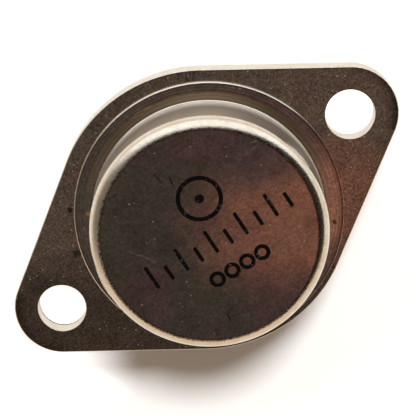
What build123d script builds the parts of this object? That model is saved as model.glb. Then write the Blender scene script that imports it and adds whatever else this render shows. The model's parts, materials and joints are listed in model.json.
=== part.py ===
from build123d import *
from math import copysign, sqrt
import os

os.makedirs("parts", exist_ok=True)

# Voltage regulator in a two-lead steel can: a drawn cap welded to a diamond flange.
# Millimetres. The origin is on the seating plane, halfway between the mounting holes.
# +Z runs along the cap, +X through the mounting holes, and the leads point down -Z.

# Cap, drawn from sheet, with a brim that the welding electrode pressed down
cap_radius = 9.91
cap_sheet = 0.40
cap_height = 6.80  # above the flange's upper face
cap_corner_radius = 1.00
brim_width = 1.68
brim_bend_radius = 0.30
brim_edge_break = 0.12
electrode_clearance = 0.77  # from the wall to the step that the electrode left
electrode_step = 0.06
weld_height = 0.10  # what is left of the welding projection
weld_width = 0.50
weld_inset = 0.45  # from the brim's edge to the weld
cap_offset_x = 0.36  # the cap was welded slightly off the middle
cap_offset_y = -0.30

# Flange, blanked from steel plate
hole_pitch = 30.15
hole_radius = 2.09
hole_break = 0.08  # upper rim of each mounting hole
ear_wall = 2.04  # steel round each mounting hole
flange_margin = 0.93  # from the brim's edge, were the cap in the middle
flange_thickness = 1.75
rolled_edge = 0.18  # upper rim, where the die drew it in
lower_edge_break = 0.08

# Leads, and the glass that seals them into the flange
lead_pitch = 10.92
lead_setback = 1.815  # from the middle of the flange to the line of the leads
lead_radius = 0.50
lead_length = 11.00  # below the seating plane
lead_tip_break = 0.15
dip_thickness = 0.02  # solder coat on the part of the lead that is plugged in
dip_taper = 0.60  # length over which the coat thins out at its upper end
dip_clearance = 0.40  # bare lead between the coat and the seating plane
post_height = 1.50  # above the flange, inside the can
post_head_radius = 0.80
post_head_thickness = 0.30
seal_radius = 1.75
seal_recess = 0.25  # the glass climbs from here at the plate to flush at the lead

# Heat spreader, die and bond wires, sealed inside the can
spreader_length = 9.20
spreader_thickness = 0.90
spreader_corner = 0.60  # clipped off each corner
spreader_clearance = 0.60  # to each glass seal
spreader_shift = -1.30
braze_thickness = 0.05
braze_margin = 0.15
die_length = 2.60
die_width = 2.20
die_thickness = 0.35
die_shift = -0.40
solder_thickness = 0.05
solder_margin = 0.12
pad_inset = 0.45  # from the die's edge to the middle of a bond
ground_reach = 1.90  # from the die's edge to the ground bond on the spreader
wire_radius = 0.10
wire_rise = 0.95  # level stretch of the loop above the higher bond
shoulder_shares = (0.25, 0.60)  # where the level stretch begins and ends along the loop
foot_length = 0.60
foot_width = 0.30
foot_thickness = 0.14

# Places that several pieces share
brim_radius = cap_radius + brim_width
flange_radius = brim_radius + flange_margin
hole_places = [(-hole_pitch / 2, 0), (hole_pitch / 2, 0)]
lead_places = {"input": (lead_setback, lead_pitch / 2), "output": (lead_setback, -lead_pitch / 2)}
post_top = flange_thickness + post_height
spreader_width = lead_pitch - 2 * (seal_radius + spreader_clearance)
spreader_base = flange_thickness + braze_thickness
spreader_top = spreader_base + spreader_thickness
die_base = spreader_top + solder_thickness
die_top = die_base + die_thickness
up = (0, 0, 1)


def finish(piece, name):
    """Label a finished piece and write its STEP file."""
    piece.part.label = name
    export_step(piece.part, f"parts/{name}.step")


def upright_plane(x, y, z=0):
    """Plane through a vertical axis, with its own x along X and its own y along Z."""
    return Plane(origin=(x, y, z), x_dir=(1, 0, 0), z_dir=(0, -1, 0))


# Flange: a round middle and two ears, joined by tangent lines
with BuildPart() as header_flange:
    with BuildSketch():
        Circle(flange_radius)
        with Locations(*hole_places):
            Circle(hole_radius + ear_wall)
        make_hull()
    extrude(amount=flange_thickness)
    chamfer(header_flange.edges().group_by(Axis.Z)[-1], rolled_edge)
    chamfer(header_flange.edges().group_by(Axis.Z)[0], lower_edge_break)
    with Locations(*hole_places):
        Hole(hole_radius)
    hole_rims = header_flange.edges(Select.LAST).filter_by(GeomType.CIRCLE)
    chamfer(hole_rims.group_by(Axis.Z)[-1], hole_break)
    with Locations(*lead_places.values()):
        Hole(seal_radius)
finish(header_flange, "header_flange")


# Leads, dipped in solder from the tip up, each with a nail head for its bond wire
dipped_radius = lead_radius + dip_thickness
for role, place in lead_places.items():
    with BuildPart() as lead:
        with BuildSketch(upright_plane(*place)):
            with BuildLine():
                Polyline(
                    (0, -lead_length),
                    (dipped_radius - lead_tip_break, -lead_length),
                    (dipped_radius, -lead_length + lead_tip_break),
                    (dipped_radius, -dip_clearance - dip_taper),
                    (lead_radius, -dip_clearance),
                    (lead_radius, post_top - post_head_thickness),
                    (post_head_radius, post_top - post_head_thickness),
                    (post_head_radius, post_top),
                    (0, post_top),
                    close=True,
                )
            make_face()
        revolve(axis=Axis((*place, 0), up))
    finish(lead, f"{role}_lead")


# Glass seals: a bead in each lead hole, climbing the lead above and below
for role, place in lead_places.items():
    with BuildPart() as seal:
        with BuildSketch(upright_plane(*place)):
            with BuildLine():
                Polyline(
                    (lead_radius, 0),
                    (seal_radius, seal_recess),
                    (seal_radius, flange_thickness - seal_recess),
                    (lead_radius, flange_thickness),
                    close=True,
                )
            make_face()
        revolve(axis=Axis((*place, 0), up))
    finish(seal, f"{role}_seal")


# Cap: one sheet section turned round, over the top, down the wall and out along the brim
wall_inside = cap_radius - cap_sheet
brim_top = weld_height + cap_sheet
pressed_top = brim_top - electrode_step
step_radius = cap_radius + electrode_clearance
weld_outside = brim_radius - weld_inset
weld_inside = weld_outside - weld_width
flat_share = 2 - sqrt(2)  # leg of a flat that touches a quarter bend in its middle, per radius
crown_flat = (cap_corner_radius - cap_sheet) * flat_share
foot_flat = brim_bend_radius * flat_share
inner_foot_flat = (brim_bend_radius + cap_sheet) * flat_share
cap_section = [  # the crown is rounded after the turn, and the smaller bends are single flats
    (0, cap_height),
    (cap_radius, cap_height),
    (cap_radius, brim_top + foot_flat),
    (cap_radius + foot_flat, brim_top),
    (step_radius, brim_top),
    (step_radius + electrode_step, pressed_top),
    (brim_radius - brim_edge_break, pressed_top),
    (brim_radius, pressed_top - brim_edge_break),
    (brim_radius, weld_height),
    (weld_outside, weld_height),
    (weld_outside, 0),
    (weld_inside, 0),
    (weld_inside, weld_height),
    (wall_inside + inner_foot_flat, weld_height),
    (wall_inside, weld_height + inner_foot_flat),
    (wall_inside, cap_height - cap_sheet - crown_flat),
    (wall_inside - crown_flat, cap_height - cap_sheet),
    (0, cap_height - cap_sheet),
]
with BuildPart() as cap:
    with BuildSketch(upright_plane(cap_offset_x, cap_offset_y, flange_thickness)):
        with BuildLine():
            Polyline(*cap_section, close=True)
        make_face()
    revolve(axis=Axis((cap_offset_x, cap_offset_y, 0), up))
    fillet(cap.edges().group_by(Axis.Z)[-1], cap_corner_radius)
finish(cap, "cap")


# Heat spreader: a copper slab brazed to the flange between the glass seals
with BuildPart() as heat_spreader:
    with BuildSketch(Plane.XY.offset(spreader_base)) as slab:
        with Locations((spreader_shift, 0)):
            Rectangle(spreader_length, spreader_width)
        chamfer(slab.vertices(), spreader_corner)
    extrude(amount=spreader_thickness)
finish(heat_spreader, "heat_spreader")

with BuildPart() as spreader_braze:
    with BuildSketch(Plane.XY.offset(flange_thickness)):
        with Locations((spreader_shift, 0)):
            Rectangle(spreader_length + 2 * braze_margin, spreader_width + 2 * braze_margin)
    extrude(amount=braze_thickness)
finish(spreader_braze, "spreader_braze")


# Die, and the solder that holds it to the spreader
with BuildPart() as regulator_die:
    with BuildSketch(Plane.XY.offset(die_base)):
        with Locations((die_shift, 0)):
            Rectangle(die_length, die_width)
    extrude(amount=die_thickness)
finish(regulator_die, "regulator_die")

with BuildPart() as die_solder:
    with BuildSketch(Plane.XY.offset(spreader_top)):
        with Locations((die_shift, 0)):
            Rectangle(die_length + 2 * solder_margin, die_width + 2 * solder_margin)
    extrude(amount=solder_thickness)
finish(die_solder, "die_solder")


# Bond wires: a loop in an upright plane, from one flattened foot to the other
def bond_wire(start, end):
    """Wire from one bonding surface to another; start and end are the middles of its feet."""
    start, end = Vector(*start), Vector(*end)
    level = Vector(end.X - start.X, end.Y - start.Y, 0)
    along = level.normalized()
    heel = along * (foot_length / 2 - wire_radius)
    half_wire = Vector(0, 0, wire_radius)
    crest = max(start.Z, end.Z) + wire_rise
    shoulders = [start + level * share for share in shoulder_shares]
    with BuildPart() as wire:
        with BuildLine() as loop:
            Polyline(
                start + heel + half_wire,
                *[(shoulder.X, shoulder.Y, crest) for shoulder in shoulders],
                end - heel + half_wire,
            )
        with BuildSketch(Plane(origin=loop.line @ 0, z_dir=loop.line % 0)):
            Circle(wire_radius)
        sweep(transition=Transition.RIGHT)
        for foot in (start, end):
            with BuildSketch(Plane(origin=foot, x_dir=along, z_dir=up)):
                Rectangle(foot_length, foot_width)
            extrude(amount=foot_thickness)
    return wire


for role, (x, y) in lead_places.items():
    pad_y = copysign(die_width / 2 - pad_inset, y)
    finish(bond_wire((die_shift, pad_y, die_top), (x, y, post_top)), f"{role}_wire")

die_edge = die_shift - die_length / 2
ground_pad = (die_edge + pad_inset, 0, die_top)
ground_bond = (die_edge - ground_reach, 0, spreader_top)
finish(bond_wire(ground_pad, ground_bond), "ground_wire")
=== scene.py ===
import json
from math import acos, cos, pi, radians, sin, tau

import bmesh
import bpy
from mathutils import Matrix, Vector


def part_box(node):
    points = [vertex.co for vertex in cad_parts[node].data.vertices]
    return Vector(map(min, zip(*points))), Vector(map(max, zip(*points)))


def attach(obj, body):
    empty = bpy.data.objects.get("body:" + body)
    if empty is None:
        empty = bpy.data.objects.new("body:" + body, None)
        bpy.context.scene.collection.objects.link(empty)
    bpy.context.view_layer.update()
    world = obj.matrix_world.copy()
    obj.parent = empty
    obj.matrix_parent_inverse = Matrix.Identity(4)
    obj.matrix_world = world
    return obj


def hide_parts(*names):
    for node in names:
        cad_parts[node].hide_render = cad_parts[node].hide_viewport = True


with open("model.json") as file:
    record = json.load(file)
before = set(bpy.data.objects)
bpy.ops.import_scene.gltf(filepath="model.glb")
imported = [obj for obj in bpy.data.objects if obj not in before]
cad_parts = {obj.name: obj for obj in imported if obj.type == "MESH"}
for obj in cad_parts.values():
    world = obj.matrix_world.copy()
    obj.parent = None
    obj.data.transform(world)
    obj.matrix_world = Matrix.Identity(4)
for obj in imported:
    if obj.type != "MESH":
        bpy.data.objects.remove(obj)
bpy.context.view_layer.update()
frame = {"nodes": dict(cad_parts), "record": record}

# Everything is in metres, in the part's own frame: +Z along the cap, +X through the mounting holes.
mm = 0.001
mounts = {mount["name"]: mount for mount in frame["record"]["mounts"]}

# Places and main sizes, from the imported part
cap_low, cap_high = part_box("cap")
cap_axis = (cap_low + cap_high) / 2
cap_top = cap_high.z
brim_radius = (cap_high.x - cap_low.x) / 2
flange_low, flange_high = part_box("header_flange")
flange_top = flange_high.z
flange_radius = (flange_high.y - flange_low.y) / 2
hole_pitch = mounts["mounting_holes"]["dims"]["spacing_x_mm"] * mm
hole_radius = mounts["mounting_holes"]["dims"]["hole_r_mm"] * mm
ear_radius = flange_high.x - hole_pitch / 2
lead_places = {role: Vector(mounts[f"{role}_pin"]["pos_m"]) for role in ("input", "output")}
lead_low, lead_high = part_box("input_lead")
seal_low, seal_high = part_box("input_seal")
dip_radius = mounts["input_pin"]["dims"]["r_mm"] * mm
dip_top = lead_places["input"].z + mounts["input_pin"]["dims"]["length_mm"] * mm / 2
seal_radius = (seal_high.x - seal_low.x) / 2
post_head_radius = (lead_high.x - lead_low.x) / 2

# Cap
cap_radius = 9.91 * mm
cap_sheet = 0.40 * mm
crown_radius = 1.08 * mm
foot_bend = 0.15 * mm
electrode_clearance = 0.77 * mm  # from the wall to the step that the welding electrode left
electrode_step = 0.06 * mm
step_rounding = 0.12 * mm
brim_dish = 0.030 * mm  # the brim is lower at the wall than at its edge
brim_fall = 0.004 * mm  # its highest ring stands this far above the edge
brim_edge = 0.17 * mm
brim_lower_edge = 0.05 * mm
weld_height = 0.10 * mm
weld_width = 0.50 * mm
weld_inset = 0.45 * mm

# Flange
rolled_edge = 0.14 * mm  # upper rim, where the die drew it in
lower_edge = 0.08 * mm
hole_edge = 0.08 * mm
lead_hole_edge = 0.02 * mm

# Leads and seals
dip_taper = 0.60 * mm
lead_radius = 0.50 * mm
lead_tip = 0.15 * mm
post_head_thickness = 0.30 * mm
post_head_edge = 0.06 * mm
seal_recess = 0.25 * mm
meniscus_rise = 0.2 * seal_recess  # from the plate to the bend in the glass
meniscus_width = 0.35 * mm  # from the lead to that bend
meniscus_rounding = 0.25 * mm

# Ink
ink_thickness = 0.012 * mm  # above the cap; as much again is sunk in it

# Steps of the round shapes
TURN_STEPS = 256
ROUND_STEPS = 96
EAR_STEPS = 64
SMALL_TURN_STEPS = 64
RIM_STEPS = 5
LEAST_BEND_STEPS = 4
MILLIMETRE_BEND_STEPS = 14  # on a bend of 1 mm; they grow with the root of its radius
merge_distance = 0.0002 * mm
crease_angle = radians(30)


# ---------------------------------------------------------------- camera

camera_aim = Vector((0.28, -0.27, 0.0)) * mm
camera_distance = 135.33 * mm
camera_tilt = radians(16.07)  # off the cap's axis
camera_azimuth = radians(55.79)
camera_roll = radians(179.21)
camera_lens = 134.86  # millimetres, like the sensor's width
camera_sensor = 36

# Level directions: towards the window, which is on the camera's side, and to its right
window = Vector((cos(camera_azimuth), sin(camera_azimuth), 0))
window_right = window.cross((0, 0, 1))


def looking(place, back, roll=0.0):
    """Matrix of a camera or a lamp at a place, with its back turned to a direction."""
    facing = back.to_track_quat("Z", "Y").to_matrix().to_4x4()
    return Matrix.Translation(place) @ facing @ Matrix.Rotation(roll, 4, "Z")


def set_camera():
    """Look down on the cap, a little from the window's side."""
    toward = Vector((
        sin(camera_tilt) * cos(camera_azimuth),
        sin(camera_tilt) * sin(camera_azimuth),
        cos(camera_tilt),
    ))
    lens = bpy.data.cameras.new("camera")
    lens.lens = camera_lens
    lens.sensor_width = camera_sensor
    lens.clip_start = 0.01
    camera = bpy.data.objects.new("camera", lens)
    bpy.context.scene.collection.objects.link(camera)
    camera.matrix_world = looking(camera_aim + toward * camera_distance, toward, camera_roll)
    bpy.context.scene.camera = camera


# ---------------------------------------------------------------- node helpers


def add(tree, kind, inputs=None, **settings):
    """New node with its settings, and for each input a value or another node's output."""
    made = tree.nodes.new("ShaderNode" + kind)
    for name, value in settings.items():
        setattr(made, name, value)
    for name, value in (inputs or {}).items():
        if isinstance(value, bpy.types.NodeSocket):
            tree.links.new(value, made.inputs[name])
        else:
            made.inputs[name].default_value = value
    return made


def calc(tree, operation, *values):
    """Output of a Math node."""
    return add(tree, "Math", dict(enumerate(values)), operation=operation).outputs[0]


def fade(tree, value, start, stop):
    """0 where the value is at start, 1 at stop, and smooth between."""
    inputs = {"Value": value, "From Min": start, "From Max": stop}
    return add(tree, "MapRange", inputs, interpolation_type="SMOOTHSTEP").outputs[0]


def mix(tree, share, first, second, how="MIX"):
    """Two colours mixed: the second one's share is given."""
    made = add(tree, "Mix", data_type="RGBA", blend_type=how)
    for index, value in ((0, share), (6, first), (7, second)):
        if isinstance(value, bpy.types.NodeSocket):
            tree.links.new(value, made.inputs[index])
        elif index == 0:
            made.inputs[index].default_value = value
        else:
            made.inputs[index].default_value = (*value, 1)
    return made.outputs[2]


def times(tree, first, *others):
    """Product of two or more values."""
    for other in others:
        first = calc(tree, "MULTIPLY", first, other)
    return first


def swing(tree, pattern, reach):
    """Pattern round 0.5 made one round 0, of a given strength, for adding."""
    return times(tree, calc(tree, "SUBTRACT", pattern, 0.5), reach)


def centred(tree, pattern, strength):
    """Pattern round 0.5 made one round 1, for multiplying."""
    return calc(tree, "MULTIPLY_ADD", calc(tree, "SUBTRACT", pattern, 0.5), strength, 1.0)


def shade(tree, colour, factor):
    """Colour made lighter or darker by a factor."""
    grey = add(tree, "CombineColor", {0: factor, 1: factor, 2: factor}).outputs[0]
    return mix(tree, 1.0, colour, grey, "MULTIPLY")


def along(tree, place, direction):
    """Reach of the surface in one direction."""
    return add(tree, "VectorMath", {0: place, 1: direction}, operation="DOT_PRODUCT").outputs["Value"]


def height_of(tree, place):
    """Height of a place, or the upright part of a direction."""
    return add(tree, "SeparateXYZ", {0: place}).outputs[2]


def distance_from(tree, place, centre, squeeze=1.0):
    """Level distance from an upright axis. With a squeeze, the window's direction counts for more."""
    axis = (centre[0], centre[1], 0)
    offset = add(tree, "VectorMath", {0: place, 1: axis}, operation="SUBTRACT").outputs[0]
    across = along(tree, offset, window_right)
    ahead = times(tree, along(tree, offset, window), squeeze)
    squares = calc(tree, "ADD", times(tree, across, across), times(tree, ahead, ahead))
    return calc(tree, "SQRT", squares)


def noise(tree, place, size, detail=2.0, roughness=0.5, distortion=0.0):
    """Cloudy pattern, 0 to 1 and mostly near 0.5, whose blotches are about as large as size."""
    shape = {"Detail": detail, "Roughness": roughness, "Distortion": distortion}
    return add(tree, "TexNoise", {"Vector": place, "Scale": 1 / size, **shape}).outputs[0]


def specks(tree, place, spacing, radius, share):
    """Round specks of up to a radius, strong and faint, in a share of the cells of that spacing."""
    cells = add(tree, "TexVoronoi", {"Vector": place, "Scale": 1 / spacing})
    chance = add(tree, "SeparateColor", {0: cells.outputs["Color"]}).outputs
    chosen = calc(tree, "LESS_THAN", chance[0], share)
    strength = calc(tree, "POWER", chance[1], 1.5)
    inside = fade(tree, cells.outputs["Distance"], radius / spacing, 0.5 * radius / spacing)
    return times(tree, inside, times(tree, chosen, strength))


def spot(tree, place, centre, reach):
    """1 in a small ragged stain round a point."""
    offset = add(tree, "VectorMath", {0: place, 1: centre}, operation="DISTANCE").outputs["Value"]
    ragged = swing(tree, noise(tree, place, 0.25 * mm, detail=3), 1.6 * reach)
    return fade(tree, calc(tree, "ADD", offset, ragged), reach, 0.4 * reach)


def scratch(tree, place, start, stop, width):
    """1 on one straight scratch of a level face."""
    start, stop = Vector((*start, 0)) * mm, Vector((*stop, 0)) * mm
    run = stop - start
    offset = add(tree, "VectorMath", {0: place, 1: start}, operation="SUBTRACT").outputs[0]
    share = calc(tree, "DIVIDE", along(tree, offset, run), run.length_squared)
    beside = calc(tree, "ABSOLUTE", along(tree, offset, Vector((-run.y, run.x, 0)).normalized()))
    waver = swing(tree, noise(tree, place, 0.5 * mm), 0.25 * mm)
    line = fade(tree, calc(tree, "ABSOLUTE", calc(tree, "ADD", beside, waver)), width, 0.3 * width)
    ends = fade(tree, calc(tree, "ABSOLUTE", calc(tree, "SUBTRACT", share, 0.5)), 0.5, 0.42)
    return times(tree, line, ends)


def hairlines(tree, place, turn, length, width, fill):
    """1 on fine straight scratches that run along one direction."""
    stretch = {"Rotation": (0, 0, turn), "Scale": (1 / length, 1 / width, 1 / width)}
    stretched = add(tree, "Mapping", {"Vector": place, **stretch}).outputs[0]
    streak = add(tree, "TexNoise", {"Vector": stretched, "Scale": 1.0, "Detail": 1.0}).outputs[0]
    return fade(tree, streak, 1 - fill, 1 - 0.85 * fill)


def new_material(name, **fixed):
    """Material with one Principled shader, whose constant sockets are set here."""
    material = bpy.data.materials.new(name)
    material.use_nodes = True
    tree = material.node_tree
    shader = tree.nodes["Principled BSDF"]
    for socket, value in fixed.items():
        shader.inputs[socket.replace("_", " ")].default_value = value
    return material, tree, shader


def plug(tree, shader, colour, roughness, height, depth):
    """Join the patterns to the shader; the height pattern becomes a bump of that depth."""
    tree.links.new(colour, shader.inputs["Base Color"])
    tree.links.new(roughness, shader.inputs["Roughness"])
    bump = add(tree, "Bump", {"Height": height, "Distance": depth, "Strength": 1.0})
    tree.links.new(bump.outputs[0], shader.inputs["Normal"])


# ---------------------------------------------------------------- finishes

olive_bronze = (0.106, 0.094, 0.075)
plum_bronze = (0.145, 0.092, 0.086)
violet_bronze = (0.125, 0.096, 0.108)
pale_bronze = (0.200, 0.152, 0.120)
brown_bronze = (0.240, 0.172, 0.132)
copper_bronze = (0.440, 0.205, 0.138)
# Painted light on a ring of the brim, towards the window
lit_olive = (0.330, 0.265, 0.180)
dark_bronze = (0.020, 0.016, 0.014)
bare_nickel = (0.90, 0.86, 0.79)
warm_nickel = (0.84, 0.75, 0.63)
brown_fringe = (0.24, 0.12, 0.06)
wall_bronze = (0.52, 0.37, 0.25)
amber_spot = (0.62, 0.32, 0.11)
yellow_spot = (0.80, 0.45, 0.12)
black_ink = (0.002, 0.002, 0.002)

# Where the tarnish has turned to copper, and to violet: full within the core, none beyond the reach
copper_place = Vector((8.3, -4.2, 0)) * mm
copper_core = 3.5 * mm
copper_reach = 12.5 * mm
copper_squeeze = 1.6
violet_place = Vector((7.0, 2.6, 0)) * mm
violet_core = 0.5 * mm
violet_reach = 4 * mm
violet_squeeze = 1.3
violet_share = 0.6

# Patterns of the plating, from wide clouds to the finest grain
cloud_size = 7 * mm
cloud_drift = 9 * mm  # how far the clouds move the limits of the tones
tone_drift = 70 * mm  # the second tone gains on the way to the window's right
small_cloud_size = 1.6 * mm
fine_size = 0.30 * mm
mottle_size = 0.16 * mm
turning_size = 0.14 * mm
peel_size = 0.10 * mm
finest_size = 0.09 * mm

# Specks and pits: spacing and radius. Hairlines: turn, length, width and fill.
speck_shape = (0.38 * mm, 0.075 * mm)
pit_shape = (0.7 * mm, 0.10 * mm)
hairline_shapes = ((0.5, 3 * mm, 0.05 * mm, 0.30), (-0.9, 4 * mm, 0.04 * mm, 0.29))

# Spans of place: an effect is none at the first value and full at the second
painted_light_ahead = (-2 * mm, 9 * mm)  # painted light on the brim's ring, on the way to the window
dark_edge_right = (6 * mm, 11 * mm)  # the brim's darker edge, partly painted shade, on the way to the window's right
side_shade_behind = (-3 * mm, -7 * mm)  # painted shade on the flange's face and its tarnished rims, on the way from the window
wall_darkening_heights = (2.4 * mm, 7.0 * mm)
frosted_wall_heights = (4.4 * mm, 2.6 * mm)
# Painted shade low in the mounting hole at -X, between these heights
hole_shade_heights = (0.42 * mm, 0.22 * mm)

# Spans of facing, which is 1 on a level face and 0 on an upright wall
tilted_span = (0.9995, 0.980)
flat_span = (0.962, 0.996)
fringe_span = (0.93, 0.99)
wall_span = (0.35, 0.0)
wall_darkening_span = (0.30, 0.02)
rim_span = (0.10, 0.30)
worn_from = (0.95, 0.88)
worn_to = (0.45, 0.60)
bend_from = (0.985, 0.999)
bend_to = (0.0, 0.3)


def bronze_tarnish_and_shade(tree, place, small_cloud, fine, first_tone, second_tone, grain, copper):
    """Tarnish of two tones in clouds, with copper and violet in their places and a grain over all."""
    cloud = noise(tree, place, cloud_size, detail=3, distortion=0.4)
    drift = swing(tree, cloud, cloud_drift)
    to_copper = calc(tree, "ADD", drift, distance_from(tree, place, copper_place, copper_squeeze))
    to_violet = calc(tree, "ADD", drift, distance_from(tree, place, violet_place, violet_squeeze))
    tone = calc(tree, "MULTIPLY_ADD", along(tree, place, window_right), 1 / tone_drift, cloud)
    # The tones' darkness on the flat faces is partly painted shade
    tarnish_and_shade = mix(tree, fade(tree, tone, 0.40, 0.58), first_tone, second_tone)
    coppery = times(tree, fade(tree, to_copper, copper_reach, copper_core), copper)
    tarnish_and_shade = mix(tree, coppery, tarnish_and_shade, copper_bronze)
    violet = times(tree, fade(tree, to_violet, violet_reach, violet_core), violet_share)
    tarnish_and_shade = mix(tree, violet, tarnish_and_shade, violet_bronze)
    tarnish_and_shade = shade(tree, tarnish_and_shade, centred(tree, fine, 1.3 + 0.9 * grain))
    mottle = noise(tree, place, mottle_size, detail=2, roughness=0.7)
    tarnish_and_shade = shade(tree, tarnish_and_shade, centred(tree, mottle, 2.5 * grain))
    return shade(tree, tarnish_and_shade, centred(tree, small_cloud, 1.0))


def turned_brim(tree, place, tarnish_and_shade, pale_ring):
    """The cap's bronze: a paler brim, turning lines, painted light to the window, and a darker right edge.
    """
    inner, outer = pale_ring
    radius = distance_from(tree, place, cap_axis)
    on_brim = fade(tree, radius, inner, inner + 0.05 * mm)
    tarnish_and_shade = shade(tree, tarnish_and_shade, calc(tree, "MULTIPLY_ADD", on_brim, 0.38, 1.0))
    in_ring = fade(tree, radius, outer + 0.1 * mm, outer - 0.1 * mm)
    # Painted light: a ring of the brim is paler towards the window
    ahead = fade(tree, along(tree, place, window), *painted_light_ahead)
    tarnish_and_shade = mix(tree, times(tree, on_brim, in_ring, ahead, 0.75), tarnish_and_shade, lit_olive)
    from_axis = add(tree, "CombineXYZ", {0: radius}).outputs[0]
    lines = noise(tree, from_axis, turning_size, detail=3, roughness=0.7)
    lines = swing(tree, lines, on_brim)
    tarnish_and_shade = shade(tree, tarnish_and_shade, calc(tree, "MULTIPLY_ADD", lines, 3.2, 1.05))
    # The brim's edge stays darker to the right: tarnished there, and partly painted shade
    at_edge = fade(tree, radius, brim_radius - 0.3 * mm, brim_radius - 0.2 * mm)
    on_right = fade(tree, along(tree, place, window_right), *dark_edge_right)
    return tarnish_and_shade, times(tree, at_edge, on_right)


def worn_and_shaded_rims(tree, place, facing, tarnish_and_shade):
    """The flange's bronze with a worn line on the rims, and painted shade away from the window and in one
    hole.
    """
    from_hole = distance_from(tree, place, (-hole_pitch / 2, 0))
    # Painted shade: rims and face darker on the side away from the window
    behind = fade(tree, along(tree, place, window), *side_shade_behind)
    clear_of_hole = fade(tree, from_hole, hole_radius + 0.02 * mm, hole_radius + 0.08 * mm)
    side_shade = times(tree, behind, clear_of_hole, fade(tree, facing, *rim_span))
    tarnish_and_shade = shade(tree, tarnish_and_shade, calc(tree, "MULTIPLY_ADD", side_shade, -0.42, 1.0))
    worn = times(tree, fade(tree, facing, *worn_from), fade(tree, facing, *worn_to))
    tarnish_and_shade = mix(tree, times(tree, worn, 0.7), tarnish_and_shade, warm_nickel)
    # Painted shade: a dark band low in the mounting hole at -X
    low = fade(tree, height_of(tree, place), *hole_shade_heights)
    in_hole = fade(tree, from_hole, hole_radius + 0.15 * mm, hole_radius + 0.05 * mm)
    return tarnish_and_shade, side_shade, times(tree, low, in_hole)


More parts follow.
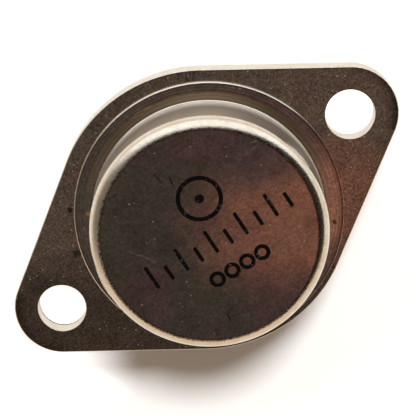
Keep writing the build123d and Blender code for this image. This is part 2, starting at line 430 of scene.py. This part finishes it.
def plated_steel(name, first_tone, second_tone, grain, copper=1.0, pale_ring=None, wall_darkening=0.0,
                 rim_wear_and_shade=False, stains=(), lone_scratches=()):
    """Nickel plate tarnished to bronze on its flat faces, partly as painted shade, and bare where bent or
    rounded.

    grain is how mottled and rough it is, and copper how far the bronze turns to copper in its place.
    pale_ring is the span of radius on the brim where painted light makes it paler towards the window.
    wall_darkening is how much darker the cap's wall is at its top. Its foot has a frosted band.
    rim_wear_and_shade adds a thin worn line, and painted shade on the rims and face away from the window
    and in one hole.
    Each stain has its centre and reach in mm, its tone and its share. Each lone scratch has its two ends
    and its width in mm, its tone and its share.
    """
    material, tree, shader = new_material(name, IOR=1.8)
    place = add(tree, "TexCoord").outputs["Object"]
    facing = calc(tree, "ABSOLUTE", height_of(tree, add(tree, "NewGeometry").outputs["Normal"]))
    small_cloud = noise(tree, place, small_cloud_size, detail=4, roughness=0.6)
    fine = noise(tree, place, fine_size, detail=4, roughness=0.8)
    finest = noise(tree, place, finest_size, detail=1)
    tarnish_and_shade = bronze_tarnish_and_shade(tree, place, small_cloud, fine, first_tone, second_tone, grain, copper)

    # Bare nickel, darker up the wall
    nickel = mix(tree, fade(tree, small_cloud, 0.35, 0.75), bare_nickel, warm_nickel)
    if wall_darkening:
        up_wall = fade(tree, height_of(tree, place), *wall_darkening_heights)
        darkening = times(tree, fade(tree, facing, *wall_darkening_span), up_wall, wall_darkening)
        nickel = mix(tree, darkening, nickel, wall_bronze)
    nickel = shade(tree, nickel, centred(tree, fine, 0.4))

    # The tarnished flats, partly painted shade, end at the bends, with a ragged limit and a brown fringe
    tilted = fade(tree, facing, *tilted_span)
    ragged = calc(tree, "ADD", swing(tree, finest, times(tree, tilted, 0.22)), facing)
    # Paler brim with painted light towards the window, and a darker edge to the right, partly painted shade
    if pale_ring:
        tarnish_and_shade, dark_edge = turned_brim(tree, place, tarnish_and_shade, pale_ring)
        ragged = calc(tree, "MULTIPLY_ADD", dark_edge, 0.6, ragged)
    # A worn line on the flange's rims, and painted shade away from the window and low in one hole
    if rim_wear_and_shade:
        tarnish_and_shade, side_shade, hole_shade = worn_and_shaded_rims(tree, place, facing, tarnish_and_shade)
        ragged = calc(tree, "ADD", side_shade, ragged)
        nickel = mix(tree, times(tree, hole_shade, 0.9), nickel, dark_bronze)
    flat = fade(tree, ragged, *flat_span)
    fringe = times(tree, fade(tree, ragged, *fringe_span), 0.6)
    colour = mix(tree, fringe, nickel, brown_fringe)
    colour = mix(tree, flat, colour, tarnish_and_shade)

    # Pits, hairlines, bright specks, stains and lone scratches
    bright = specks(tree, place, *speck_shape, 0.50 * grain * grain)
    pits = times(tree, specks(tree, place, *pit_shape, 0.20), flat)
    fine_lines = calc(tree, "MAXIMUM", *[hairlines(tree, place, *shape) for shape in hairline_shapes])
    colour = mix(tree, times(tree, pits, 0.6), colour, dark_bronze)
    colour = mix(tree, times(tree, fine_lines, 0.07), colour, warm_nickel)
    colour = mix(tree, times(tree, bright, 0.9), colour, bare_nickel)
    for centre, reach, tone, share in stains:
        stain = times(tree, spot(tree, place, Vector(centre) * mm, reach * mm), share)
        colour = mix(tree, stain, colour, tone)
    for start, stop, width, tone, share in lone_scratches:
        line = scratch(tree, place, start, stop, width * mm)
        colour = mix(tree, times(tree, line, times(tree, flat, share)), colour, tone)

    # Upright walls are frosted a little, most at the wall's foot
    wall = fade(tree, facing, *wall_span)
    roughness = calc(tree, "MULTIPLY_ADD", small_cloud, 0.12, 0.12)
    roughness = calc(tree, "MULTIPLY_ADD", wall, 0.17, roughness)
    metallic = calc(tree, "MULTIPLY_ADD", wall, -0.11, 1.0)
    if wall_darkening:
        low_wall = fade(tree, height_of(tree, place), *frosted_wall_heights)
        metallic = calc(tree, "MULTIPLY_ADD", times(tree, wall, low_wall), -0.34, metallic)
    tree.links.new(metallic, shader.inputs["Metallic"])

    # The bends are stretched to a fine orange peel
    not_level = calc(tree, "SUBTRACT", 1.0, fade(tree, facing, *bend_from))
    bend = times(tree, not_level, fade(tree, facing, *bend_to))
    peel = times(tree, noise(tree, place, peel_size, detail=1), times(tree, bend, 1.3))
    height = calc(tree, "MULTIPLY_ADD", fine, 0.45 * grain, peel)
    height = calc(tree, "MULTIPLY_ADD", finest, 0.25, height)
    height = calc(tree, "SUBTRACT", height, times(tree, pits, 0.8))
    height = calc(tree, "SUBTRACT", height, times(tree, fine_lines, 0.15))
    plug(tree, shader, colour, roughness, height, 0.010 * mm)
    return material


def simple_finish(name, colour, other, blotch, fixed, rough=(0.3, 0.15)):
    """Finish with two colours in fine blotches, a slight grain, and a roughness with its unevenness."""
    material, tree, shader = new_material(name, **fixed)
    place = add(tree, "TexCoord").outputs["Object"]
    cloud = noise(tree, place, blotch, detail=4, roughness=0.6)
    grain = noise(tree, place, blotch / 8, detail=2)
    tint = mix(tree, fade(tree, cloud, 0.35, 0.65), colour, other)
    roughness = calc(tree, "MULTIPLY_ADD", cloud, rough[1], rough[0])
    plug(tree, shader, tint, roughness, grain, 0.004 * mm)
    return material


def ink_finish():
    """Black marking ink, rubbed thin in places so that the metal's tone shows through."""
    material, tree, shader = new_material("marking_ink", Metallic=0.0, IOR=1.15)
    place = add(tree, "TexCoord").outputs["Object"]
    worn = fade(tree, noise(tree, place, 0.35 * mm, detail=4, roughness=0.75), 0.60, 0.68)
    colour = mix(tree, times(tree, worn, 0.5), black_ink, plum_bronze)
    roughness = calc(tree, "MULTIPLY_ADD", worn, -0.2, 0.60)
    plug(tree, shader, colour, roughness, noise(tree, place, 0.05 * mm), 0.003 * mm)
    return material


# ---------------------------------------------------------------- mesh helpers


def new_piece(name, mesh, material, rides=True):
    """Object of a finished bmesh, at the origin, with smooth faces and creases only at real edges."""
    bmesh.ops.remove_doubles(mesh, verts=mesh.verts, dist=merge_distance)
    bmesh.ops.recalc_face_normals(mesh, faces=mesh.faces)
    for face in mesh.faces:
        face.smooth = True
    for edge in mesh.edges:
        edge.smooth = edge.calc_face_angle(0) < crease_angle
    data = bpy.data.meshes.new(name)
    mesh.to_mesh(data)
    mesh.free()
    data.materials.append(material)
    piece = bpy.data.objects.new(name, data)
    bpy.context.scene.collection.objects.link(piece)
    if rides:
        weighted = piece.modifiers.new("flat faces stay flat", "WEIGHTED_NORMAL")
        weighted.keep_sharp = True
        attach(piece, "root")
    return piece


def turned(mesh, section, centre, steps=TURN_STEPS):
    """Turn a section round an upright axis. The section lists (radius, height, rounding) and closes."""
    points = [mesh.verts.new((centre[0] + radius, centre[1], height)) for radius, height, _ in section]
    for first, second in zip(points, points[1:] + points[:1]):
        if first.co.x > centre[0] or second.co.x > centre[0]:  # no edge lies on the axis
            mesh.edges.new((first, second))
    for point, (_, _, rounding) in zip(points, section):
        if rounding:
            bends = max(LEAST_BEND_STEPS, round(MILLIMETRE_BEND_STEPS * (rounding / mm) ** 0.5))
            bmesh.ops.bevel(mesh, geom=[point], offset=rounding, offset_type="OFFSET", segments=bends,
                            profile=0.5, affect="VERTICES", material=-1)
    outline = mesh.verts[:] + mesh.edges[:]
    bmesh.ops.spin(mesh, geom=outline, cent=(centre[0], centre[1], 0), axis=(0, 0, 1), angle=tau,
                   steps=steps, use_merge=True)


def new_edges(mesh, known):
    """Edges that were not in the mesh before."""
    return [edge for edge in mesh.edges if edge not in known]


# ---------------------------------------------------------------- cap


def cap_piece(material):
    """Drawn can: crown, wall, foot bend, brim with the electrode's step, and the weld under it."""
    step = cap_radius + electrode_clearance
    inside = cap_radius - cap_sheet
    weld_outside = brim_radius - weld_inset
    weld_inside = weld_outside - weld_width
    brim_low = flange_top + weld_height
    pressed_top = brim_low + cap_sheet - electrode_step
    top = cap_top - ink_thickness
    section = [
        (0, top, 0),
        (cap_radius, top, crown_radius),
        (cap_radius, pressed_top - brim_dish, foot_bend),
        (step, pressed_top + brim_fall, step_rounding),
        (brim_radius, pressed_top, brim_edge),
        (brim_radius, brim_low, brim_lower_edge),
        (weld_outside, brim_low, 0),
        (weld_outside, flange_top, 0),
        (weld_inside, flange_top, 0),
        (weld_inside, brim_low, 0),
        (inside, brim_low, foot_bend + cap_sheet),
        (inside, cap_top - cap_sheet, crown_radius - cap_sheet),
        (0, cap_top - cap_sheet, 0),
    ]
    mesh = bmesh.new()
    turned(mesh, section, cap_axis)
    piece = new_piece("cap_shell", mesh, material)
    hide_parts("cap")


# ---------------------------------------------------------------- flange


def flange_outline(mesh, inset, height):
    """Rim of the flange: two arcs of the round middle and two ears, joined by tangents."""
    ear = hole_pitch / 2
    turn = acos((flange_radius - ear_radius) / ear)
    stretches = [
        (0, flange_radius, turn, pi - turn, ROUND_STEPS),
        (-ear, ear_radius, pi - turn, pi + turn, EAR_STEPS),
        (0, flange_radius, pi + turn, tau - turn, ROUND_STEPS),
        (ear, ear_radius, -turn, turn, EAR_STEPS),
    ]
    known = set(mesh.edges)
    firsts = []
    lasts = []
    for middle, radius, start, stop, steps in stretches:
        reach = radius - inset
        first = mesh.verts.new((middle + reach * cos(start), reach * sin(start), height))
        arc = bmesh.ops.spin(mesh, geom=[first], cent=(middle, 0, 0), axis=(0, 0, 1),
                             angle=stop - start, steps=steps)
        last = next(item for item in arc["geom_last"] if isinstance(item, bmesh.types.BMVert))
        firsts.append(first)
        lasts.append(last)
    for last, following in zip(lasts, firsts[1:] + firsts[:1]):
        mesh.edges.new((last, following))
    return new_edges(mesh, known)


def ring(mesh, centre, radius, height, steps=ROUND_STEPS):
    """Circle of edges."""
    known = set(mesh.edges)
    place = Matrix.Translation((centre[0], centre[1], height))
    bmesh.ops.create_circle(mesh, cap_ends=False, segments=steps, radius=radius, matrix=place)
    return new_edges(mesh, known)


def rounded_wall(mesh, level, top, bottom, upper_rounding, lower_rounding, side):
    """Wall between two faces, with both of its edges rounded. Returns its highest and lowest rim.

    level draws a rim from its inset and height, and side is -1 where the wall faces a hole.
    """
    bends = [pi / 2 * step / RIM_STEPS for step in range(RIM_STEPS + 1)]
    upper, lower = upper_rounding, lower_rounding
    heights = [(upper * (1 - sin(bend)), top - upper * (1 - cos(bend))) for bend in bends]
    heights += [(lower * (1 - sin(bend)), bottom + lower * (1 - cos(bend))) for bend in bends[::-1]]
    rims = [level(side * inset, height) for inset, height in heights]
    for rim, next_rim in zip(rims, rims[1:]):
        bmesh.ops.bridge_loops(mesh, edges=rim + next_rim)
    return rims[0], rims[-1]


def flange_piece(material):
    """Plate with rounded rims, its two mounting holes, and the two holes that the seals fill."""
    mesh = bmesh.new()
    walls = [rounded_wall(mesh, lambda inset, height: flange_outline(mesh, inset, height),
                          flange_top, flange_low.z, rolled_edge, lower_edge, 1)]
    holes = [(Vector((side * hole_pitch / 2, 0)), hole_radius, hole_edge) for side in (-1, 1)]
    holes += [(place.xy, seal_radius, lead_hole_edge) for place in lead_places.values()]
    for centre, radius, rounding in holes:
        walls.append(rounded_wall(mesh, lambda inset, height: ring(mesh, centre, radius - inset, height),
                                  flange_top, flange_low.z, rounding, rounding, -1))
    upper_rims, lower_rims = zip(*walls)
    for rims, up in ((upper_rims, 1), (lower_rims, -1)):
        edges = [edge for rim in rims for edge in rim]
        bmesh.ops.triangle_fill(mesh, use_beauty=True, use_dissolve=False, normal=(0, 0, up), edges=edges)
    piece = new_piece("flange_plate", mesh, material)
    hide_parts("header_flange")


# ---------------------------------------------------------------- leads and seals


def lead_piece(role, material):
    """Round lead, dipped in solder below the flange, with a nail head inside the can."""
    centre = lead_places[role]
    section = [
        (0, lead_low.z, 0),
        (dip_radius, lead_low.z, lead_tip),
        (dip_radius, dip_top, 0),
        (lead_radius, dip_top + dip_taper, 0),
        (lead_radius, lead_high.z - post_head_thickness, 0),
        (post_head_radius, lead_high.z - post_head_thickness, post_head_edge),
        (post_head_radius, lead_high.z, post_head_edge),
        (0, lead_high.z, 0),
    ]
    mesh = bmesh.new()
    turned(mesh, section, centre, SMALL_TURN_STEPS)
    piece = new_piece(f"{role}_pin", mesh, material)
    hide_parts(f"{role}_lead")


def seal_piece(role, material):
    """Glass bead, with a hollow meniscus that climbs the lead above and below."""
    centre = lead_places[role]
    hollow = lead_radius + meniscus_width
    section = [
        (lead_radius, 0, 0),
        (hollow, seal_recess - meniscus_rise, meniscus_rounding),
        (seal_radius, seal_recess, 0),
        (seal_radius, flange_top - seal_recess, 0),
        (hollow, flange_top - seal_recess + meniscus_rise, meniscus_rounding),
        (lead_radius, flange_top, 0),
    ]
    mesh = bmesh.new()
    turned(mesh, section, centre, SMALL_TURN_STEPS)
    piece = new_piece(f"{role}_bead", mesh, material)
    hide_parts(f"{role}_seal")


# ---------------------------------------------------------------- ink marks

ink_turn = radians(-2.3)  # the rows against +X
ink_stroke = 0.33 * mm
mark_pitch = 1.44 * mm

# Index ring with its dot
index_place = Vector((1.05, 3.15)) * mm
index_radius = 1.75 * mm
index_stroke = 0.36 * mm
index_dot = 0.38 * mm

# Row of ticks, every other one short, and row of small rings
tick_count = 10
tick_middle = 0.60 * mm
tick_height = 1.85 * mm
short_tick = 0.6 * tick_height
tick_foot = -0.43 * mm - tick_height / 2
ring_count = 4
ring_middle = 0.75 * mm
ring_line = -3.45 * mm
ring_radius = 0.52 * mm

INK_RING_STEPS = 48
INK_DOT_STEPS = 32
STROKE_END_STEPS = 16


def bar(mesh, start, stop):
    """Ink stroke with round ends, from one point to another on the cap's top."""
    start, stop = Vector(start), Vector(stop)
    run = stop - start
    known = set(mesh.verts)
    bmesh.ops.create_circle(mesh, cap_ends=True, segments=STROKE_END_STEPS, radius=ink_stroke / 2,
                            matrix=Matrix.Rotation(run.angle_signed(Vector((1, 0))), 4, "Z"))
    made = [vert for vert in mesh.verts if vert not in known]
    far = [vert for vert in made if vert.co.xy.dot(run) > 0]
    bmesh.ops.translate(mesh, verts=made, vec=(start.x, start.y, 0))
    bmesh.ops.translate(mesh, verts=far, vec=(run.x, run.y, 0))


def ink_ring(mesh, centre, radius, stroke):
    """Open ink ring."""
    inner = ring(mesh, centre, radius - stroke / 2, 0, INK_RING_STEPS)
    outer = ring(mesh, centre, radius + stroke / 2, 0, INK_RING_STEPS)
    bmesh.ops.bridge_loops(mesh, edges=inner + outer)


def ink_piece(material):
    """Plain marks of no meaning: an index ring with its dot, a row of ticks, and a row of small rings."""
    mesh = bmesh.new()
    ink_ring(mesh, index_place, index_radius, index_stroke)
    bmesh.ops.create_circle(mesh, cap_ends=True, segments=INK_DOT_STEPS, radius=index_dot,
                            matrix=Matrix.Translation((*index_place, 0)))
    for count in range(tick_count):
        place = tick_middle + (count - (tick_count - 1) / 2) * mark_pitch
        bar(mesh, (place, tick_foot), (place, tick_foot + (tick_height, short_tick)[count % 2]))
    for count in range(ring_count):
        place = ring_middle + (count - (ring_count - 1) / 2) * mark_pitch
        ink_ring(mesh, (place, ring_line), ring_radius, ink_stroke)
    top = bmesh.ops.extrude_face_region(mesh, geom=mesh.faces[:])
    lifted = [item for item in top["geom"] if isinstance(item, bmesh.types.BMVert)]
    bmesh.ops.translate(mesh, verts=lifted, vec=(0, 0, 2 * ink_thickness))
    on_cap = Matrix.Translation((cap_axis.x, cap_axis.y, cap_top - 2 * ink_thickness))
    bmesh.ops.transform(mesh, matrix=on_cap @ Matrix.Rotation(ink_turn, 4, "Z"), verts=mesh.verts)
    new_piece("ink_marks", mesh, material)


# ---------------------------------------------------------------- floor, light and surroundings

floor_size = 1.2
paper_white = (0.90, 0.90, 0.90, 1)
plain_white = (1.0, 1.0, 1.0, 1)
near_floor = (0.94, 0.89, 0.82)  # as the metal mirrors it
far_floor = (0.78, 0.66, 0.52)
mirrored_span = (25 * mm, 70 * mm)
lit_span = (22 * mm, 45 * mm)
lit_strength = 0.85
light_spots = [  # place, reach, and how far full strength reaches
    (Vector((-18.15, -2.60)) * mm, 3.2 * mm, 2.4 * mm),
    (Vector((14.54, -2.60)) * mm, 3.2 * mm, 2.4 * mm),
    (Vector((-23.0, -8.0)) * mm, 8.4 * mm, 2.4 * mm),
]

key_elevation = radians(58.9)
key_turn = radians(-8.5)  # off the window's direction
key_distance = 0.60
key_size = 0.11
key_power = 3.98
key_colour = (0.98, 0.98, 0.98)

# Surround that the metal mirrors
left_wall_tones = (0.19, 0.165, 0.14), (0.41, 0.34, 0.275)  # upper and lower part
right_wall = (0.80, 0.74, 0.63)
back_wall_tones = (0.14, 0.11, 0.085), (0.75, 0.58, 0.43)
window_wall = (1.12, 1.11, 1.08)
pale_ceiling = (0.355, 0.315, 0.29)
dark_ceiling = (0.03, 0.025, 0.02)
fill_tint = (0.90, 0.79, 0.68)  # of the surround's light on what is not metal

# Limits in the surround, from one tone to the next, as parts of a direction of length 1
left_wall_heights = (0.45, 0.0)
back_wall_heights = (0.72, 0.50)
left_to_right = (-0.3, 0.3)
back_to_window = (-0.2, 0.2)
sides_to_ends = (0.25, 0.65)
ceiling_heights = (0.90, 0.93)
ceiling_rise_to_window = 0.16
ceiling_drop_to_right = 0.65
pale_strip_shift = 0.015
pale_strip_front = (-0.10, 0.06)
pale_strip_sides = (0.18, 0.25)


def floor_piece():
    """Plain pale floor at the leads' tips, which keeps the shadow and is clear from below.

    It is lighter further out and in a few soft spots, and the metal mirrors it evenly, without the shadow.
    """
    mesh = bmesh.new()
    bmesh.ops.create_grid(mesh, x_segments=1, y_segments=1, size=floor_size / 2,
                          matrix=Matrix.Translation((0, 0, lead_low.z)))
    material = bpy.data.materials.new("pale_floor")
    material.use_nodes = True
    tree = material.node_tree
    tree.nodes.clear()
    place = add(tree, "TexCoord").outputs["Object"]
    ray = add(tree, "LightPath").outputs
    out_from_middle = distance_from(tree, place, (0, 0))

    # What the camera sees: pale paper with its shadow, and light added to it in places
    lifted = fade(tree, out_from_middle, *lit_span)
    for centre, reach, full in light_spots:
        lifted = calc(tree, "MAXIMUM", lifted, fade(tree, distance_from(tree, place, centre), reach, full))
    strength = times(tree, lifted, ray["Is Camera Ray"], lit_strength)
    paper = add(tree, "BsdfDiffuse", {"Color": paper_white})
    lift = add(tree, "Emission", {"Color": plain_white, "Strength": strength})
    lit = add(tree, "AddShader", {0: paper.outputs[0], 1: lift.outputs[0]})

    # What the metal and the glass see
    mirrored = calc(tree, "MAXIMUM", ray["Is Glossy Ray"], ray["Is Transmission Ray"])
    tone = mix(tree, fade(tree, out_from_middle, *mirrored_span), near_floor, far_floor)
    even = add(tree, "Emission", {"Color": tone, "Strength": 1.0})
    upper = add(tree, "MixShader", {0: mirrored, 1: lit.outputs[0], 2: even.outputs[0]})

    clear = add(tree, "BsdfTransparent")
    below = add(tree, "NewGeometry").outputs["Backfacing"]
    sheet = add(tree, "MixShader", {0: below, 1: upper.outputs[0], 2: clear.outputs[0]})
    out = add(tree, "OutputMaterial", {"Surface": sheet.outputs[0]})
    out.is_active_output = True
    new_piece("floor", mesh, material, rides=False)


def set_light():
    """Soft key light from the window's side, and bright and dark walls under a dark ceiling."""
    lamp = bpy.data.lights.new("key", "AREA")
    lamp.shape = "DISK"
    lamp.size = key_size
    lamp.energy = key_power
    lamp.color = key_colour
    key = bpy.data.objects.new("key", lamp)
    bpy.context.scene.collection.objects.link(key)
    level = Matrix.Rotation(key_turn, 3, "Z") @ window
    toward = level * cos(key_elevation) + Vector((0, 0, sin(key_elevation)))
    key.matrix_world = looking(toward * key_distance, toward)
    key.visible_glossy = False

    world = bpy.data.worlds.new("studio")
    world.use_nodes = True
    bpy.context.scene.world = world
    tree = world.node_tree
    tree.nodes.clear()
    ray = add(tree, "LightPath").outputs
    direction = add(tree, "TexCoord").outputs["Generated"]
    height = height_of(tree, direction)
    ahead = along(tree, direction, window)
    right = along(tree, direction, window_right)

    left_wall = mix(tree, fade(tree, height, *left_wall_heights), *left_wall_tones)
    sides = mix(tree, fade(tree, right, *left_to_right), left_wall, right_wall)
    back_wall = mix(tree, fade(tree, height, *back_wall_heights), *back_wall_tones)
    ends = mix(tree, fade(tree, ahead, *back_to_window), back_wall, window_wall)
    walls = mix(tree, fade(tree, calc(tree, "ABSOLUTE", ahead), *sides_to_ends), sides, ends)

    # The ceiling is pale in a strip behind the part, and begins lower to the right and higher at the window
    aside = calc(tree, "ABSOLUTE", calc(tree, "ADD", right, pale_strip_shift))
    before_strip = fade(tree, ahead, *pale_strip_front)
    beside_strip = fade(tree, aside, *pale_strip_sides)
    gloom = calc(tree, "MAXIMUM", before_strip, beside_strip)
    ceiling = mix(tree, gloom, pale_ceiling, dark_ceiling)
    window_lean = times(tree, calc(tree, "MAXIMUM", ahead, 0.0), -ceiling_rise_to_window)
    right_lean = times(tree, calc(tree, "MAXIMUM", right, 0.0), ceiling_drop_to_right)
    leaned = calc(tree, "ADD", height, calc(tree, "ADD", window_lean, right_lean))
    dome = mix(tree, fade(tree, leaned, *ceiling_heights), walls, ceiling)

    dome = mix(tree, ray["Is Diffuse Ray"], dome, fill_tint, "MULTIPLY")
    colour = mix(tree, ray["Is Camera Ray"], dome, (1, 1, 1))
    background = add(tree, "Background", {"Color": colour, "Strength": 1.0})
    add(tree, "OutputWorld", {"Surface": background.outputs[0]})


# ---------------------------------------------------------------- the whole scene

set_camera()
set_light()
floor_piece()

cap_stains = [  # centre and reach in mm, tone, share
    ((-8.0, 5.65, 2.2), 0.30, amber_spot, 0.9),
    ((-10.5, 3.95, 2.1), 0.16, yellow_spot, 0.9),
    ((8.8, -7.0, 2.2), 0.28, dark_bronze, 0.8),
]
cap_scratches = [  # both ends and width in mm, tone, share
    ((-5.8, 2.5), (-5.2, 1.6), 0.07, warm_nickel, 0.14),
    ((-5.2, 1.7), (-4.4, 0.3), 0.07, warm_nickel, 0.18),
    ((-0.3, 6.7), (-0.2, 5.6), 0.07, dark_bronze, 0.90),
    ((0.6, 5.8), (0.4, 4.8), 0.07, dark_bronze, 0.90),
    ((-3.7, 6.9), (-4.6, 7.0), 0.08, dark_bronze, 0.60),
    ((-2.2, -6.5), (-2.4, -7.3), 0.08, dark_bronze, 0.90),
    ((-2.0, -7.0), (-0.1, -7.6), 0.06, dark_bronze, 0.60),
    ((7.0, 4.4), (8.2, 4.1), 0.06, warm_nickel, 0.22),
    ((8.3, 3.7), (7.2, 3.8), 0.05, warm_nickel, 0.15),
    ((0.1, 10.5), (1.9, 10.3), 0.05, warm_nickel, 0.35),
    ((-0.4, 10.5), (1.1, 10.0), 0.05, warm_nickel, 0.30),
]
flange_stains = [
    ((-9.25, 6.8, 1.75), 0.35, dark_bronze, 0.85),
    ((-11.05, 3.3, 1.75), 0.50, dark_bronze, 0.8),
]
plating = plated_steel(
    "tarnished_and_shaded_plating", olive_bronze, plum_bronze, 0.45, pale_ring=(10.02 * mm, 10.68 * mm),
    wall_darkening=0.55, stains=cap_stains, lone_scratches=cap_scratches)
flange_plating = plated_steel(
    "tarnished_and_shaded_flange_plating", pale_bronze, brown_bronze, 1.1, copper=0.90, rim_wear_and_shade=True,
    stains=flange_stains)
cap_piece(plating)
flange_piece(flange_plating)
ink_piece(ink_finish())

metal = {"Metallic": 1.0}
tinned = simple_finish("tinned_lead", (0.50, 0.47, 0.42), (0.36, 0.32, 0.27), 0.8 * mm, metal)
glass = simple_finish(
    "dark_glass", (0.012, 0.018, 0.015), (0.03, 0.04, 0.034), 0.9 * mm, {"IOR": 1.52}, (0.06, 0.1))
for role in lead_places:
    lead_piece(role, tinned)
    seal_piece(role, glass)

inner_finishes = {
    "heat_spreader": simple_finish("bare_copper", (0.80, 0.42, 0.27), (0.55, 0.26, 0.16), 1.2 * mm, metal),
    "spreader_braze": simple_finish("braze", (0.75, 0.69, 0.57), (0.60, 0.54, 0.44), 0.6 * mm, metal),
    "regulator_die": simple_finish(
        "silicon", (0.13, 0.14, 0.17), (0.20, 0.18, 0.24), 0.3 * mm, {"IOR": 3.5}, (0.08, 0.05)),
    "die_solder": simple_finish("solder", (0.52, 0.52, 0.53), (0.38, 0.38, 0.39), 0.4 * mm, metal),
}
wire_finish = simple_finish("bond_wire", (0.80, 0.80, 0.82), (0.66, 0.66, 0.69), 0.2 * mm, metal)
for node in ("input_wire", "output_wire", "ground_wire"):
    inner_finishes[node] = wire_finish
for node, finish in inner_finishes.items():
    frame["nodes"][node].data.materials.clear()
    frame["nodes"][node].data.materials.append(finish)

bpy.context.scene.view_settings.view_transform = "Standard"
